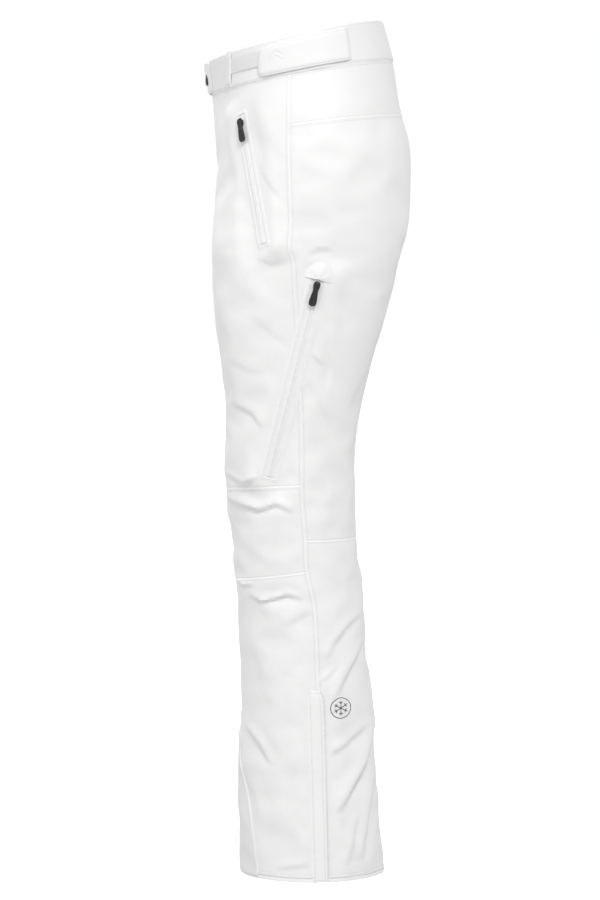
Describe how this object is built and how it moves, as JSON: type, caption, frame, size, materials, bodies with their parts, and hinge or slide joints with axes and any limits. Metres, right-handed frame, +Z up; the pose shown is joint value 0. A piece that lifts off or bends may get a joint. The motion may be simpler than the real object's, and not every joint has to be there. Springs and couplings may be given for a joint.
{
  "type": "ski pants",
  "caption": "White insulated ski trousers with zipped pockets, hook-and-loop waist tabs, a snapped waist, articulated knees and zipped hems under plackets.",
  "frame": {"origin": "centre of the waist opening, in the plane of its top edge", "axes": "+Z up along the legs, -Y is the front, +X is the wearer's left"},
  "size_m": [0.3852, 0.2607, 1.0703],
  "materials": {
    "shell_fabric": "matte",
    "guard_fabric": "matte",
    "loop_tape": "matte",
    "zip_tape": "matte",
    "lining": "satin",
    "gaiter_fabric": "satin",
    "black_metal": "satin",
    "black_rubber": "matte"
  },
  "bodies": {
    "seat": {"waistband": "shell_fabric", "waistband_facing": "lining", "left_belt_loop": "shell_fabric", "right_belt_loop": "shell_fabric", "left_loop_strip": "loop_tape", "right_loop_strip": "loop_tape", "back_yoke": "shell_fabric", "fly_zip": "zip_tape", "fly_shield": "lining", "snap_stud": "black_metal", "left_front_panel": "shell_fabric", "right_front_panel": "shell_fabric", "left_seat_panel": "shell_fabric", "right_seat_panel": "shell_fabric", "left_pocket_bag": "lining", "right_pocket_bag": "lining", "left_hand_zip": "zip_tape", "right_hand_zip": "zip_tape"},
    "waist_tab": {"waist_tab": "shell_fabric", "snap_cap": "black_metal"},
    "fly_slider": {"fly_slider": "black_metal"},
    "fly_puller": {"fly_puller": "black_rubber"},
    "left_adjuster_tab": {"left_adjuster_tab": "shell_fabric"},
    "left_hand_slider": {"left_hand_slider": "black_metal"},
    "left_hand_puller": {"left_hand_puller": "black_rubber"},
    "left_thigh": {"left_thigh_front": "shell_fabric", "left_thigh_back": "shell_fabric", "left_knee_panel": "shell_fabric", "left_thigh_zip": "zip_tape", "left_hip_fold": "shell_fabric"},
    "left_thigh_slider": {"left_thigh_slider": "black_metal"},
    "left_thigh_puller": {"left_thigh_puller": "black_rubber"},
    "left_shin": {"left_shin": "shell_fabric", "left_calf": "shell_fabric", "left_hem_zip": "zip_tape", "left_gaiter": "gaiter_fabric", "left_scuff_guard": "guard_fabric", "left_knee_fold": "shell_fabric"},
    "left_hem_slider": {"left_hem_slider": "black_metal", "left_hem_puller": "black_rubber"},
    "left_hem_flap": {"left_hem_flap": "shell_fabric"},
    "right_adjuster_tab": {"right_adjuster_tab": "shell_fabric"},
    "right_hand_slider": {"right_hand_slider": "black_metal"},
    "right_hand_puller": {"right_hand_puller": "black_rubber"},
    "right_thigh": {"right_thigh_front": "shell_fabric", "right_thigh_back": "shell_fabric", "right_knee_panel": "shell_fabric", "right_thigh_zip": "zip_tape", "right_hip_fold": "shell_fabric"},
    "right_thigh_slider": {"right_thigh_slider": "black_metal"},
    "right_thigh_puller": {"right_thigh_puller": "black_rubber"},
    "right_shin": {"right_shin": "shell_fabric", "right_calf": "shell_fabric", "right_hem_zip": "zip_tape", "right_gaiter": "gaiter_fabric", "right_scuff_guard": "guard_fabric", "right_knee_fold": "shell_fabric"},
    "right_hem_slider": {"right_hem_slider": "black_metal", "right_hem_puller": "black_rubber"},
    "right_hem_flap": {"right_hem_flap": "shell_fabric"}
  },
  "joints": [
    {"name": "waist_tab_hinge", "type": "hinge", "parent": "seat", "child": "waist_tab", "pos_m": [-0.02379, -0.1127, -0.04733], "axis": [-0.0108, 0.1553, -0.9878], "range_deg": [0, 100]},
    {"name": "fly_zip_slide", "type": "slide", "parent": "seat", "child": "fly_slider", "axis": [-0.0049, 0.1035, -0.9946], "range_m": [0, 0.085]},
    {"name": "fly_puller_hinge", "type": "hinge", "parent": "fly_slider", "child": "fly_puller", "pos_m": [0.00054, -0.10558, -0.07405], "axis": [-1, -0.0005, 0.0049], "range_deg": [0, 90]},
    {"name": "left_adjuster_hinge", "type": "hinge", "parent": "seat", "child": "left_adjuster_tab", "pos_m": [0.13295, 0.06603, -0.00928], "axis": [-0.1871, -0.1252, 0.9743], "range_deg": [0, 90]},
    {"name": "left_hand_zip_slide", "type": "slide", "parent": "seat", "child": "left_hand_slider", "axis": [0.3028, 0.1695, -0.9379], "range_m": [0, 0.145]},
    {"name": "left_hand_puller_hinge", "type": "hinge", "parent": "left_hand_slider", "child": "left_hand_puller", "pos_m": [0.13382, -0.07142, -0.1046], "axis": [-0.6158, -0.7163, -0.3282], "range_deg": [0, 120]},
    {"name": "left_hip", "type": "hinge", "parent": "seat", "child": "left_thigh", "pos_m": [0.0975, 0, -0.276], "axis": [-1, 0, 0], "range_deg": [-10, 35], "deforming": ["left_hip_fold"]},
    {"name": "left_thigh_zip_slide", "type": "slide", "parent": "left_thigh", "child": "left_thigh_slider", "axis": [-0.0713, -0.2411, -0.9679], "range_m": [0, 0.23]},
    {"name": "left_thigh_puller_hinge", "type": "hinge", "parent": "left_thigh_slider", "child": "left_thigh_puller", "pos_m": [0.19186, 0.02517, -0.3056], "axis": [-0.0014, -0.9703, 0.2418], "range_deg": [0, 120]},
    {"name": "left_knee", "type": "hinge", "parent": "left_thigh", "child": "left_shin", "pos_m": [0.096, 0.011, -0.62], "axis": [1, 0, 0], "range_deg": [0, 50], "deforming": ["left_knee_fold"]},
    {"name": "left_hem_zip_slide", "type": "slide", "parent": "left_shin", "child": "left_hem_slider", "axis": [-0.0484, -0.0271, 0.9985], "range_m": [0, 0.195]},
    {"name": "left_hem_flap_hinge", "type": "hinge", "parent": "left_shin", "child": "left_hem_flap", "pos_m": [0.18491, 0.0167, -0.92392], "axis": [0.0462, 0.0271, -0.9986], "range_deg": [0, 100]},
    {"name": "right_adjuster_hinge", "type": "hinge", "parent": "seat", "child": "right_adjuster_tab", "pos_m": [-0.13295, 0.06603, -0.00928], "axis": [-0.1871, 0.1252, -0.9743], "range_deg": [0, 90]},
    {"name": "right_hand_zip_slide", "type": "slide", "parent": "seat", "child": "right_hand_slider", "axis": [-0.3028, 0.1695, -0.9379], "range_m": [0, 0.145]},
    {"name": "right_hand_puller_hinge", "type": "hinge", "parent": "right_hand_slider", "child": "right_hand_puller", "pos_m": [-0.13382, -0.07142, -0.1046], "axis": [-0.6158, 0.7163, 0.3282], "range_deg": [0, 120]},
    {"name": "right_hip", "type": "hinge", "parent": "seat", "child": "right_thigh", "pos_m": [-0.0975, 0, -0.276], "axis": [-1, 0, 0], "range_deg": [-10, 35], "deforming": ["right_hip_fold"]},
    {"name": "right_thigh_zip_slide", "type": "slide", "parent": "right_thigh", "child": "right_thigh_slider", "axis": [0.0713, -0.2411, -0.9679], "range_m": [0, 0.23]},
    {"name": "right_thigh_puller_hinge", "type": "hinge", "parent": "right_thigh_slider", "child": "right_thigh_puller", "pos_m": [-0.19186, 0.02517, -0.3056], "axis": [-0.0014, 0.9703, -0.2418], "range_deg": [0, 120]},
    {"name": "right_knee", "type": "hinge", "parent": "right_thigh", "child": "right_shin", "pos_m": [-0.096, 0.011, -0.62], "axis": [1, 0, 0], "range_deg": [0, 50], "deforming": ["right_knee_fold"]},
    {"name": "right_hem_zip_slide", "type": "slide", "parent": "right_shin", "child": "right_hem_slider", "axis": [0.0484, -0.0271, 0.9985], "range_m": [0, 0.195]},
    {"name": "right_hem_flap_hinge", "type": "hinge", "parent": "right_shin", "child": "right_hem_flap", "pos_m": [-0.18491, 0.0167, -0.92392], "axis": [0.0462, -0.0271, 0.9986], "range_deg": [0, 100]}
  ]
}
